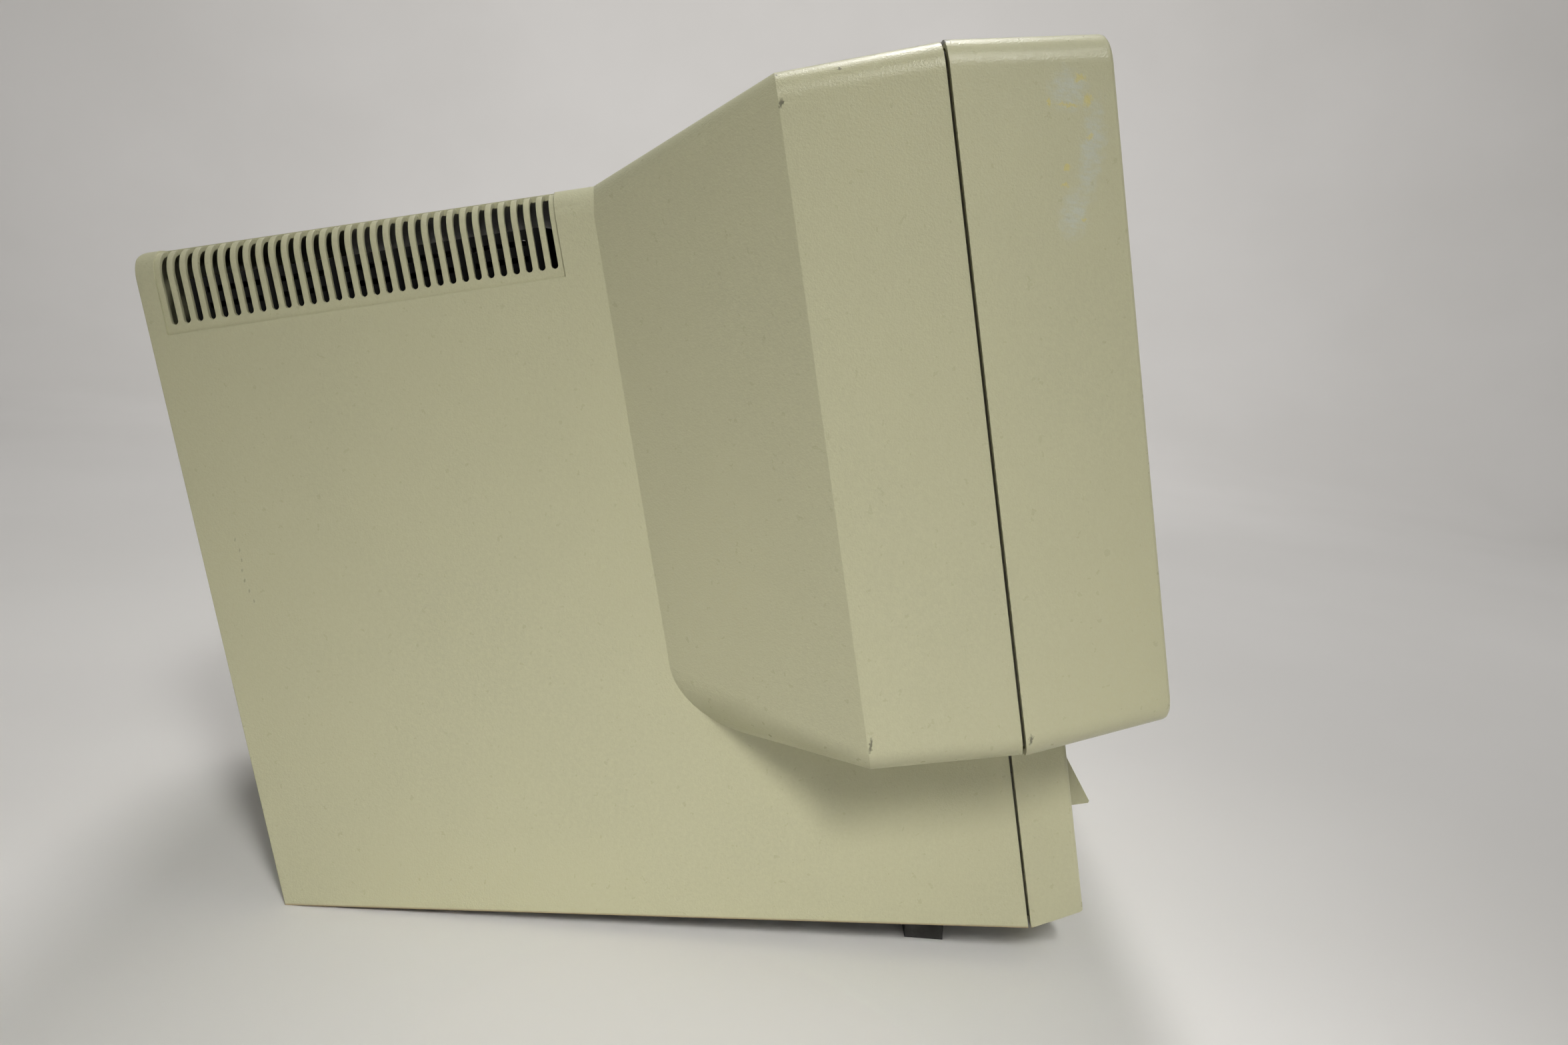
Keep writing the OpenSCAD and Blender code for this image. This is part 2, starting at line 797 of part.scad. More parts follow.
// The cap sits on the flat of the funnel's top.
module on_cap() {
    translate([22, 95, 91.2]) rotate([-cap_slope, 0, 0]) children();
}

module anode_cap() {
    color([0.25, 0.08, 0.06]) on_cap() {
        cylinder(r1 = 17, r2 = 12, h = 4);
        translate([0, 0, 4 - eps]) cylinder(r = 6, h = 6);
    }
}

module anode_lead() {
    color([0.45, 0.08, 0.06]) tube(smooth([[22, 105.5, 100.5], [26, 118, 104], [45, 140, 96],
        [68, 165, 70], [84, 185, 20], [88, 200, -40], [86, 212, -90], [80, 219, -118]], 5), 2.2, 8);
}

module yoke_coils() {
    color([0.6, 0.3, 0.12]) rotate([-90, 0, 0]) rotate_extrude($fn = 64) polygon([
        [69, 134], [50, 150], [33.5, 165], [22, 176], [18, 186], [17.5, 200],
        [27, 200], [27, 188], [31, 177], [41.5, 166], [57.5, 151], [70, 141], [80, 141], [80, 134]]);
}

module yoke_core() {
    color([0.2, 0.2, 0.21]) rotate([-90, 0, 0]) rotate_extrude($fn = 64) polygon([
        [59, 151.4], [42.4, 167], [32, 178], [32, 188], [44, 188], [52, 172], [66, 157], [66, 151.4]]);
}

module yoke_former() {
    color([0.85, 0.84, 0.78]) {
        difference() {
            rod_y(84, 130.4, 133.9);
            rod_y(73, 130, 135);
        }
        difference() {
            rod_y(34, 200.1, 203);
            rod_y(15.2, 200, 204);
        }
    }
}

module yoke_clamp() {
    color([0.7, 0.7, 0.72]) difference() {
        union() {
            rod_y(18, 203.2, 210);
            translate([14, 203.2, -5]) cube([14, 6.8, 10]);
        }
        rod_y(14.7, 203, 211);
        translate([14, 203, -1]) cube([20, 8, 2]);
        translate([24, 206.6, -10]) cylinder(r = 1.6, h = 20);
    }
}

module ring_magnets() {
    color([0.1, 0.1, 0.1]) {
        for (i = [0:5]) translate([0, 214 + i * 2.5, 0]) difference() {
            union() {
                rod_y(23, 0, 2);
                rotate([0, 30 * i, 0]) translate([20, 0, -2.5]) cube([11, 2, 5]);
            }
            rod_y(15, -1, 3);
        }
        difference() {
            rod_y(15.9, 229.1, 232);
            rod_y(14.8, 229, 233);
        }
    }
}

module crt_socket() {
    color([0.88, 0.87, 0.82]) difference() {
        rod_y(19, neck_end + 1, neck_end + 13);
        rod_y(9.3, neck_end, neck_end + 8);
        rod_y(14.9, neck_end, neck_end + 3);
    }
}

module neck_board() {
    y = neck_end + 13;
    color([0.62, 0.48, 0.25]) difference() {
        translate([-46, y, -52]) cube([92, board_t, 90]);
        rod_y(5, y - 1, y + 5);
    }
    color([0.7, 0.7, 0.72]) for (x = [-30, 0, 30])
        translate([x - 9, y + board_t, 18]) cube([18, 14, 2]);
    color([0.15, 0.15, 0.15]) for (x = [-30, 0, 30])
        translate([x - 5, y + board_t, 12]) cube([10, 4.5, 5.9]);
    color([0.2, 0.3, 0.5]) for (x = [-24, -8, 8, 24])
        translate([x, 0, -30]) rod_y(3.5, y + board_t, y + board_t + 11);
}

module neck_harness() {
    color([0.75, 0.7, 0.2]) for (i = [0:2])
        tube(smooth([[-26 + i * 5, 300, -52.8], [-27 + i * 5, 296, -78], [-34 + i * 5, 282, -120],
            [-40 + i * 5, 274, -160], [-40 + i * 5, 272, -178]], 4), 0.9, 8);
}

// ---------------------------------------------------------------- electronics on the tray

module main_board() {
    color([0.62, 0.48, 0.25]) on_base() difference() {
        translate([-board_x, board_front, board_lift])
            cube([2 * board_x, board_rear - board_front, board_t]);
        board_standoffs() cylinder(r = 1.7, h = 40);
    }
}

module on_board(x, y) {
    on_base() translate([x, y, board_top]) children();
}

module flyback_case() {
    color([0.12, 0.12, 0.13]) on_board(72, 232) {
        difference() {
            union() {
                translate([-22, -18, 0]) cube([44, 36, 48]);
                translate([0, 0, 48 - eps]) cylinder(r = 17, h = 18);
                translate([4, 0, 66 - eps]) cylinder(r = 5, h = 8);
                translate([-20, -26, 14]) cube([40, 8.1, 30]);
            }
            for (x = [-9, 9]) translate([x, -27, 29]) rotate([-90, 0, 0]) cylinder(r = 2 + fit, h = 7);
            translate([4, 0, 68]) cylinder(r = 2.6, h = 10);
        }
    }
}

module flyback_core() {
    color([0.22, 0.22, 0.23]) on_board(72, 232) {
        translate([-8, 18.3, 6]) cube([16, 8, 40]);
        translate([22.3, -8, 6]) cube([8, 34.3, 10]);
        translate([8, 18.3, 6]) cube([22.3, 8, 10]);
    }
}

module trim_knob(x) {
    color([0.85, 0.85, 0.82])
    on_board(72 + x, 232) translate([0, -26, 29]) rotate([90, 0, 0]) difference() {
        union() {
            translate([0, 0, -5.5]) cylinder(r = 2, h = 6);
            translate([0, 0, 0.3]) cylinder(r = 6, h = 7);
        }
        for (a = [0:30:330]) rotate([0, 0, a]) translate([6.3, 0, 2]) cylinder(r = 0.8, h = 6);
        translate([-0.6, -4.5, 5.5]) cube([1.2, 9, 3]);
    }
}

module power_transformer() {
    on_board(-58, 112) {
        color([0.22, 0.22, 0.23]) difference() {
            translate([-22, -19, 2]) cube([44, 38, 38]);
            translate([-16, -20, 8]) cube([32, 40, 26]);
        }
        color([0.85, 0.75, 0.3]) translate([-15.7, -22, 8.3]) cube([31.4, 44, 25.4]);
        color([0.1, 0.1, 0.1]) translate([-18, -20, 0]) cube([36, 40, 1.9]);
    }
}

module can(x, y, r, h) {
    on_board(x, y) difference() {
        cylinder(r = r, h = h);
        translate([0, 0, h - 0.8]) difference() {
            cylinder(r = r + 1, h = 0.4);
            cylinder(r = r - 0.5, h = 0.4);
        }
    }
}

module capacitors() {
    color([0.12, 0.14, 0.3]) {
        can(4, 88, 17, 44);
        can(-88, 172, 9, 30);
        can(-64, 172, 9, 30);
        can(-88, 196, 6.5, 22);
        can(-66, 198, 6.5, 22);
        can(34, 150, 8, 26);
        can(58, 150, 8, 26);
        can(10, 196, 5, 16);
        can(26, 200, 5, 16);
        can(-20, 196, 6.3, 20);
    }
}

module finned_sink(w, fins) {
    cube([w, 3, 52]);
    for (i = [0:fins - 1]) translate([i * (w - 2) / (fins - 1), 2.9, 0]) cube([2, 16, 52]);
}

module heat_sink() {
    color([0.72, 0.73, 0.75]) on_board(-52, 52) finned_sink(76, 10);
}

module output_sink() {
    color([0.72, 0.73, 0.75]) on_board(48, 270) {
        cube([56, 2.5, 46]);
        translate([0, 2.4, 43.5]) cube([56, 12, 2.5]);
    }
}

module transistor() {
    translate([-5, -4.6, 8]) cube([10, 4.5, 16]);
    translate([-5, -1.4, 23.9]) cube([10, 1.3, 4]);
    for (x = [-2.54, 0, 2.54]) translate([x - 0.4, -2.6, 0]) cube([0.8, 0.8, 8.1]);
}

module transistors() {
    color([0.1, 0.1, 0.1]) {
        for (x = [-36, -12]) on_board(x, 51.9) transistor();
        for (x = [62, 90]) on_board(x, 269.9) transistor();
    }
}

module board_coils() {
    color([0.55, 0.28, 0.12]) {
        on_board(-96, 76) difference() {
            translate([0, 0, 14]) rotate([0, 90, 0]) translate([0, 0, -9]) cylinder(r = 13.5, h = 18);
            translate([0, 0, 14]) rotate([0, 90, 0]) translate([0, 0, -10]) cylinder(r = 6, h = 20);
        }
        on_board(10, 236) difference() {
            cylinder(r = 10, h = 26);
            translate([0, 0, 2]) cylinder(r = 5, h = 30);
        }
        on_board(-24, 236) difference() {
            cylinder(r = 8, h = 20);
            translate([0, 0, 2]) cylinder(r = 4, h = 30);
        }
    }
}

module fuse() {
    on_board(-96, 112) {
        color([0.8, 0.85, 0.85]) translate([0, -10, 7]) rotate([-90, 0, 0]) cylinder(r = 2.4, h = 20);
        color([0.75, 0.72, 0.6]) for (y = [-14, 10]) translate([-3.2, y, 0]) cube([6.4, 4, 10]);
    }
}

module board_screws() {
    color([0.7, 0.7, 0.72]) {
        on_base() board_standoffs() translate([0, 0, board_top]) screw(1.25, 8, 3, 2);
        board_posts() translate([0, board_y + board_t, 0]) rotate([-90, 0, 0]) screw(1.15, 8, 3, 2);
    }
}

// ---------------------------------------------------------------- rear connectors

module connector_plate() {
    color([0.72, 0.73, 0.72]) difference() {
        union() {
            translate([-110, plate_y, recess_z - 32]) cube([220, plate_t, 60]);
            translate([-110, plate_y - 12, recess_z - 32]) cube([220, 12.01, plate_t]);
        }
        translate([inlet_x, 0, recess_z]) along_y(300, 360) slab(13.8, 10.2, 2);
        translate([signal_x, 0, recess_z]) along_y(300, 360) slab(10.2, 5.6, 2);
        for (x = [-20, 20]) translate([inlet_x + x, 0, recess_z]) rod_y(1.75, 300, 360);
        for (x = [-1, 1]) translate([signal_x + x * jack_pitch / 2, 0, recess_z]) rod_y(1.6, 300, 360);
    }
}

module mains_inlet() {
    face = plate_y + plate_t;
    color([0.08, 0.08, 0.08]) translate([inlet_x, 0, recess_z]) difference() {
        union() {
            along_y(face, face + 3) slab(25, 11.2, 3);
            along_y(face - 20, face + eps) slab(13.5, 9.9, 2);
        }
        along_y(face - 14, face + 4) slab(12.2, 8.2, 1.5);
        for (x = [-20, 20]) translate([x, 0, 0]) {
            rod_y(1.7, face - 1, face + 4);
            rod_y(3, face + 1.6, face + 4);
        }
        for (p = [[-7, -2], [7, -2], [0, 2]]) translate([p[0] - 1, face - 30, p[1] - 2]) cube([2, 40, 4]);
    }
}

module inlet_blades() {
    face = plate_y + plate_t;
    color([0.8, 0.7, 0.45]) translate([inlet_x, 0, recess_z])
        for (p = [[-7, -2], [7, -2], [0, 2]])
            translate([p[0] - 0.98, face - 28, p[1] - 1.98]) cube([1.96, 27.5, 3.96]);
}

// D-shaped outline with half width hw along the longer side.
module dee(hw, hh, slant) {
    polygon([[-hw, hh], [hw, hh], [hw - slant, -hh], [slant - hw, -hh]]);
}

module signal_shell() {
    face = plate_y + plate_t;
    color([0.75, 0.76, 0.78]) translate([signal_x, 0, recess_z]) {
        difference() {
            union() {
                along_y(face, face + 1) slab(15.4, 6.2, 1);
                along_y(face, face + 6) dee(8.9, 4.4, 1.6);
            }
            along_y(face - 1, face + 7) dee(8.4, 3.95, 1.45);
            for (x = [-1, 1]) translate([x * jack_pitch / 2, 0, 0]) rod_y(1.6, face - 1, face + 2);
        }
    }
}

module signal_insert() {
    face = plate_y + plate_t;
    color([0.1, 0.1, 0.12]) translate([signal_x, 0, recess_z]) difference() {
        along_y(face - 8, face + 5.6) dee(8.3, 3.85, 1.4);
        for (i = [0:4]) translate([(i - 2) * 2.77, 0, 1.42]) rod_y(0.6, face, face + 8);
        for (i = [0:3]) translate([(i - 1.5) * 2.77, 0, -1.42]) rod_y(0.6, face, face + 8);
    }
}

module jack_posts() {
    face = plate_y + plate_t + 1;
    color([0.78, 0.78, 0.8]) for (x = [-1, 1])
        translate([signal_x + x * jack_pitch / 2, 0, recess_z]) difference() {
            union() {
                translate([0, face + jack_len, 0]) rotate([90, 0, 0])
                    cylinder(r = 2.74, h = jack_len, $fn = 6);
                rod_y(1.5, face - 6, face + eps);
            }
            rod_y(jack_bore_r, face + jack_len - 5, face + jack_len + 1);
        }
}

module mains_harness() {
    y = plate_y + plate_t - 28.2;
    color([0.35, 0.22, 0.12]) for (i = [0, 1])
        tube(smooth([[inlet_x - 7 + 14 * i, y, recess_z - 2],
            [inlet_x - 8 + 12 * i, y - 12, recess_z - 6], [10 + 5 * i, 284, -170],
            [-30 + 5 * i, 250, -185], [-44 + 5 * i, 214, -197.5], [-46 + 5 * i, 196, -201]], 4), 1.4, 8);
}

module signal_harness() {
    y = plate_y + plate_t - 9.2;
    color([0.5, 0.5, 0.52]) tube(smooth([[signal_x, y, recess_z], [signal_x - 2, y - 14, recess_z - 4],
        [-66, 308, -162], [-72, 296, -176], [-74, 290, -183]], 5), 2.6, 8);
}

// Folded sheet steel on four legs that stand on the tray, slotted on top and along its upper sides.
module inner_shield() {
    length = shield_rear - shield_front;
    height = shield_top - shield_low;
    color([0.16, 0.16, 0.17]) difference() {
        union() {
            difference() {
                translate([-shield_x, shield_front, shield_low]) cube([2 * shield_x, length, height]);
                translate([sheet - shield_x, shield_front - 1, shield_low - 1])
                    cube([2 * (shield_x - sheet), length + 2, height + 1 - sheet]);
            }
            for (y = [shield_front, shield_rear - sheet])
                translate([-shield_x, y, shield_top - shield_lip]) cube([2 * shield_x, sheet, shield_lip]);
            mirrored_x() for (y = [shield_front, shield_rear - leg_w]) {
                foot = base_rise * (y + leg_w) - keel + tray_t + 1;
                translate([shield_x - sheet, y, foot]) cube([sheet, leg_w, shield_low - foot + 1]);
            }
        }
        for (x = [-98, -49, 0, 49, 98]) for (i = [0:13])
            translate([x - 18, shield_front + 10 + i * 11, shield_top - 5]) cube([36, 4, 10]);
        // the rows on the two sides are staggered, so no light passes straight across
        for (y = [shield_front + 8:30:shield_rear - 30]) {
            for (z = [84, 91, 98]) translate([-far, y, z]) cube([far, 24, 2.5]);
            for (z = [87.3, 95.5]) translate([0, y, z]) cube([far, 24, 2.5]);
        }
    }
}

module rating_plate() {
    color([0.85, 0.85, 0.82]) translate([0, 0, -60])
        along_y(body_len + 0.02, body_len + 0.35) slab(44, 24, 3);
}

// ---------------------------------------------------------------- assembly

stand_on_desk() front_frame();
stand_on_desk() rear_housing();
stand_on_desk() base_tray();
stand_on_desk() control_door();
stand_on_desk() door_pins();
stand_on_desk() power_button();
stand_on_desk() switch_plunger();
stand_on_desk() power_switch();
stand_on_desk() power_led();
stand_on_desk() knob(0);  // brightness_knob
stand_on_desk() knob(1);  // contrast_knob
stand_on_desk() knob(2);  // position_knob
stand_on_desk() knob(3);  // width_knob
stand_on_desk() knob(4);  // hold_knob
stand_on_desk() potentiometers();
stand_on_desk() control_board();
front_feet();
stand_on_desk() foot_screws();
stand_on_desk() case_screws();
stand_on_desk() crt_panel();
stand_on_desk() crt_funnel();
stand_on_desk() crt_neck();
stand_on_desk() shadow_mask();
stand_on_desk() electron_gun();
stand_on_desk() implosion_band();
stand_on_desk() crt_screws();
stand_on_desk() degauss_coil();
stand_on_desk() anode_cap();
stand_on_desk() anode_lead();
stand_on_desk() yoke_coils();
stand_on_desk() yoke_core();
stand_on_desk() yoke_former();
stand_on_desk() yoke_clamp();
stand_on_desk() ring_magnets();
stand_on_desk() crt_socket();
stand_on_desk() neck_board();
stand_on_desk() neck_harness();
stand_on_desk() main_board();
stand_on_desk() flyback_case();
stand_on_desk() flyback_core();
stand_on_desk() trim_knob(-9);  // focus_knob
stand_on_desk() trim_knob(9);  // screen_knob
stand_on_desk() power_transformer();
stand_on_desk() capacitors();
stand_on_desk() heat_sink();
stand_on_desk() output_sink();
stand_on_desk() transistors();
stand_on_desk() board_coils();
stand_on_desk() fuse();
stand_on_desk() connector_plate();
stand_on_desk() mains_inlet();
stand_on_desk() inlet_blades();
stand_on_desk() signal_shell();
stand_on_desk() signal_insert();
stand_on_desk() jack_posts();
stand_on_desk() mains_harness();
stand_on_desk() signal_harness();
stand_on_desk() board_screws();
stand_on_desk() rating_plate();
stand_on_desk() inner_shield();
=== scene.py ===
"""Looks of the desktop CRT monitor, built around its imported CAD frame. Metres, row frame."""
import json
import math

import bmesh
import bpy
from mathutils import Matrix, Vector


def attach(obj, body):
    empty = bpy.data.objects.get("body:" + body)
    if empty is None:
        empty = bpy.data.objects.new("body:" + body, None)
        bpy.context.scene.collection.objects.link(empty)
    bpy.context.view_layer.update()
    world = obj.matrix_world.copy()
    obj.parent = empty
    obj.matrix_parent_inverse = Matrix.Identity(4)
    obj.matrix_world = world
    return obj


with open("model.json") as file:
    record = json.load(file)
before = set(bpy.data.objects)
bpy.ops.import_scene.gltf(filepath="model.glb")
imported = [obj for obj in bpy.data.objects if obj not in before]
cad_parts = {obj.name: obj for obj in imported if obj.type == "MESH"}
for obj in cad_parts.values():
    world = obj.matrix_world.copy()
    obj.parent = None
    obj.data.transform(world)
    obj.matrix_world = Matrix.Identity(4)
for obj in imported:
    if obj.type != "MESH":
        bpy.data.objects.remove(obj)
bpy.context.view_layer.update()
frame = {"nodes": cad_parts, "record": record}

NODES = frame["nodes"]

# ---------------------------------------------------------------- sizes

TILT = math.radians(13)                 # backward tilt of the tube axis
TUBE_ORIGIN = Vector((0.0, -0.13639, 0.26630))
TUBE_Y = Vector((0.0, math.cos(TILT), -math.sin(TILT)))     # along the tube axis, to the back
TUBE_Z = Vector((0.0, math.sin(TILT), math.cos(TILT)))      # up in the plane of the screen
BOTTOM_RISE = math.tan(TILT - math.radians(10.2))           # the bottom face rises to the front
BOTTOM_HEIGHT = 0.00806                 # height of the bottom face's plane where Y is 0
SEAM_GAP = 0.0014                       # shadow gap in front of the seam, whose faces get painted shade
PICTURE_X, PICTURE_Z = 0.131, 0.0975    # half width and half height of the lit part of the faceplate
PICTURE_CORNER = 0.014
PICTURE_FADE = 0.0012                   # how softly the picture area ends in its black border
INK = 0.00006                           # how far printed ink stands proud
KNOB_Z = -0.186                         # knob axes, in the tube frame, as all places of marks
KNOB_PITCH = 0.038
RECESS_BACK = -0.009                    # wall behind the knobs
KNOB_GROOVE = -0.0208                   # floor of the groove that a knob has as its pointer
ICON_DROP = 0.0125                      # from a knob's axis down to its icon
PEDESTAL_FACE = -0.0275
POWER_ICON_X, POWER_ICON_Z = 0.098, -0.2165
PLATE_FACE = 0.35385                    # face of the rating plate
PLATE_Z = -0.060
EDGE_ROUND = 0.0005                     # radius that a moulded edge shows
LEFT_FROM, LEFT_FULL = -0.12, -0.13     # X between which the marks of the left side set in
SPOT_RIM, SPOT_CORE = 1.25, 0.55        # where a mark ends and is full, in shares of its half size
FLOOR_RADIUS = 1.9
FLOOR_RINGS = 6
COVE_RADIUS = 1.2
COVE_STEPS = 16
COVE_SIDES = 96
WALL_HEIGHT = 3.2
WELD_DISTANCE = 0.000002
SHARP_ANGLE = math.radians(19)          # CAD faces that meet at less than this are shaded as one surface
NORMAL_WEIGHT = 50

# ---------------------------------------------------------------- node trees


class Tree:
    """A material's node tree, with short calls to add and join nodes."""

    def __init__(self, name):
        self.material = bpy.data.materials.new(name)
        self.material.use_nodes = True
        self.nodes = self.material.node_tree.nodes
        self.links = self.material.node_tree.links
        self.shader = self.nodes["Principled BSDF"]
        self.place = self.add("TexCoord").outputs["Object"]

    def feed(self, socket, value):
        if isinstance(value, bpy.types.NodeSocket):
            self.links.new(value, socket)
        else:
            socket.default_value = value

    def add(self, kind, settings=None, **inputs):
        node = self.nodes.new("ShaderNode" + kind)
        for key, value in (settings or {}).items():
            setattr(node, key, value)
        for key, value in inputs.items():
            self.feed(node.inputs[key.replace("_", " ")], value)
        return node

    def set(self, **inputs):
        for key, value in inputs.items():
            self.feed(self.shader.inputs[key.replace("_", " ")], value)

    def noise(self, scale, detail=2.0, rough=0.5, place=None):
        node = self.add("TexNoise", Scale=scale, Detail=detail, Roughness=rough)
        self.links.new(place or self.place, node.inputs["Vector"])
        return node.outputs["Fac"]

    def ramp(self, value, low, high, to_low=0.0, to_high=1.0):
        limits = {"From_Min": low, "From_Max": high, "To_Min": to_low, "To_Max": to_high}
        return self.add("MapRange", Value=value, **limits).outputs["Result"]

    def math(self, operation, a, b=0.0):
        node = self.nodes.new("ShaderNodeMath")
        node.operation = operation
        self.feed(node.inputs[0], a)
        self.feed(node.inputs[1], b)
        return node.outputs[0]

    def vector(self, operation, a, b):
        node = self.nodes.new("ShaderNodeVectorMath")
        node.operation = operation
        self.feed(node.inputs[0], a)
        self.feed(node.inputs[1], b)
        return node.outputs["Value" if operation in ("LENGTH", "DOT_PRODUCT") else "Vector"]

    def mix(self, share, a, b):
        """Colour a, with that share of colour b; sockets 6, 7 and 2 are the node's colour ones."""
        node = self.nodes.new("ShaderNodeMix")
        node.data_type = "RGBA"
        self.feed(node.inputs["Factor"], share)
        self.feed(node.inputs[6], a)
        self.feed(node.inputs[7], b)
        return node.outputs[2]

    def axis(self, name):
        return self.add("SeparateXYZ", Vector=self.place).outputs[name]

    def bump(self, height, strength, distance, normal=None):
        node = self.add("Bump", Strength=strength, Distance=distance, Height=height)
        if normal is not None:
            self.links.new(normal, node.inputs["Normal"])
        return node.outputs["Normal"]

    def round_edges(self, radius=EDGE_ROUND):
        return self.add("Bevel", {"samples": 4}, Radius=radius).outputs["Normal"]


def rgba(colour):
    return (*colour, 1.0)


def shade(colour, factor):
    return tuple(min(1.0, c * factor) for c in colour)


# ---------------------------------------------------------------- materials

# Marks on the side of the case that faces the camera: (y, z, half width, half height).
RESIDUE = [
    (-0.1541, 0.3975, 0.0075, 0.0075),
    (-0.1664, 0.3745, 0.0042, 0.020),
    (-0.1624, 0.3508, 0.0055, 0.0095),
]
GLUE_FLECKS = [
    (-0.1583, 0.4019, 0.0022, 0.0016),
    (-0.1624, 0.3939, 0.0018, 0.0022),
    (-0.1547, 0.3914, 0.0045, 0.0010),
    (-0.1472, 0.3919, 0.0010, 0.0016),
    (-0.1654, 0.3801, 0.0012, 0.0014),
    (-0.1575, 0.3680, 0.0016, 0.0012),
    (-0.1576, 0.3613, 0.0016, 0.0010),
    (-0.1666, 0.3486, 0.0012, 0.0010),
]
SCUFFS = [
    (-0.0429, 0.3823, 0.0008, 0.0019),
    (-0.0400, 0.3935, 0.0006, 0.0005),
    (-0.0646, 0.3975, 0.0008, 0.0006),
    (-0.1713, 0.1313, 0.0008, 0.0024),
    (-0.1034, 0.1222, 0.0007, 0.0036),
    (-0.1041, 0.4120, 0.0022, 0.0012),
]
SPECKS = [
    (0.1892 - 0.0013 * i + 0.0009 * math.sin(5 * i), 0.1785 - 0.0047 * i, 0.0004, 0.0009)
    for i in range(7)
]


def spot(tree, warp, y, z, half_y, half_z):
    """A soft ragged blot, 1 in its middle and 0 outside."""
    shifted = tree.vector("SUBTRACT", warp, (0.0, y, z))
    scaled = tree.vector("MULTIPLY", shifted, (0.0, 1 / half_y, 1 / half_z))
    return tree.ramp(tree.vector("LENGTH", scaled, (0.0, 0.0, 0.0)), SPOT_RIM, SPOT_CORE)


def blots(tree, marks, ragged, grain):
    """All marks of one kind, as one mask on the left side of the case."""
    node = tree.add("TexNoise", Scale=grain, Detail=3.0)
    tree.links.new(tree.place, node.inputs["Vector"])
    centred = tree.vector("SUBTRACT", node.outputs["Color"], (0.5, 0.5, 0.5))
    offset = tree.vector("MULTIPLY", centred, (0.0, ragged, ragged))
    warp = tree.vector("ADD", tree.place, offset)
    total = 0.0
    for mark in marks:
        total = tree.math("MAXIMUM", spot(tree, warp, *mark), total)
    near = tree.ramp(tree.axis("X"), LEFT_FROM, LEFT_FULL)
    return tree.math("MULTIPLY", total, near)


def bottom_brown_line(tree):
    """Share of brown, in a thin line along the bottom edge."""
    above = tree.math("ADD", tree.axis("Z"), tree.math("MULTIPLY", tree.axis("Y"), BOTTOM_RISE))
    return tree.ramp(above, BOTTOM_HEIGHT + 0.0012, BOTTOM_HEIGHT, 0.0, 0.75)


def seam_gap_shade(tree):
    """1 inside the shadow gap between the front frame and the housing: the mask of the painted shade
    there.
    """
    from_origin = tree.vector("SUBTRACT", tree.place, tuple(TUBE_ORIGIN))
    depth = tree.vector("DOT_PRODUCT", from_origin, tuple(TUBE_Y))
    past_front = tree.ramp(depth, -SEAM_GAP, 0.0001 - SEAM_GAP)
    before_back = tree.ramp(depth, 0.0, -0.0001)
    return tree.math("MULTIPLY", past_front, before_back)


def soiled_and_shaded(tree, tone):
    """The colour of the case with its marks, a brown line along the bottom edge and painted shade in the
    seam's gap.
    """
    stretched = tree.vector("MULTIPLY", tree.place, (300.0, 260.0, 700.0))
    streaks = tree.ramp(tree.noise(1.0, 3.0, 0.6, stretched), 0.35, 0.6, 0.15, 0.62)
    layers = [
        (tree.math("MULTIPLY", blots(tree, RESIDUE, 0.009, 320.0), streaks), (0.55, 0.585, 0.525)),
        (tree.math("MULTIPLY", blots(tree, GLUE_FLECKS, 0.0050, 620.0), 0.45), (0.66, 0.55, 0.10)),
        (tree.math("MULTIPLY", blots(tree, SCUFFS, 0.0025, 900.0), 0.72), (0.06, 0.055, 0.04)),
        (bottom_brown_line(tree), (0.26, 0.15, 0.06)),
        # painted shade: dark brown-black in the seam's gap, where shade falls between the front frame
        # and the housing
        (tree.math("MULTIPLY", seam_gap_shade(tree), 0.85), (0.05, 0.04, 0.025)),
        (tree.math("MULTIPLY", blots(tree, SPECKS, 0.0008, 900.0), 0.4), (0.16, 0.15, 0.11)),
    ]
    for share, colour in layers:
        tone = tree.mix(share, tone, rgba(colour))
    return tone


def moulded(name, colour, marks=False):
    """Aged textured plastic: fine leather grain, slow drift in colour, rounded edges."""
    tree = Tree(name)
    drift = tree.ramp(tree.noise(7.0, 3.0), 0.35, 0.65)
    yellowed = tuple(c * f for c, f in zip(colour, (1.03, 1.02, 0.99)))
    tone = tree.mix(drift, rgba(shade(colour, 0.965)), rgba(yellowed))
    mottle = tree.ramp(tree.noise(520.0, 2.0, 0.6), 0.3, 0.7)
    tone = tree.mix(mottle, tone, rgba(shade(colour, 1.035)))
    # marks brings the case's stains, scuffs and specks, and also its painted shade in the seam's gap
    if marks:
        tone = soiled_and_shaded(tree, tone)
    tree.set(Base_Color=tone, Specular_IOR_Level=0.5)
    tree.set(Roughness=tree.ramp(tree.noise(240.0, 3.0), 0.3, 0.7, 0.27, 0.38))
    cells = tree.add("TexVoronoi", {"feature": "SMOOTH_F1"}, Scale=1150.0)
    tree.links.new(tree.place, cells.inputs["Vector"])
    grain = tree.math("ADD", cells.outputs["Distance"], tree.noise(2300.0, 2.0))
    tree.set(Normal=tree.bump(grain, 0.4, 0.00028, tree.round_edges()))
    return tree.material


def satin(name, colour, rough=0.4, specular=0.5, bump=0.05, scale=600.0, metal=0.0):
    """Plain smooth part with faint handling marks in its gloss."""
    tree = Tree(name)
    drift = tree.ramp(tree.noise(scale * 0.08, 3.0), 0.35, 0.65)
    tone = tree.mix(drift, rgba(shade(colour, 0.92)), rgba(shade(colour, 1.06)))
    tree.set(Base_Color=tone, Metallic=metal, Specular_IOR_Level=specular)
    wear = tree.noise(scale * 0.3, 4.0)
    tree.set(Roughness=tree.ramp(wear, 0.3, 0.7, rough * 0.85, min(1.0, rough * 1.15)))
    tree.set(Normal=tree.bump(tree.noise(scale, 2.0), bump, 0.0002, tree.round_edges(0.0003)))
    return tree.material


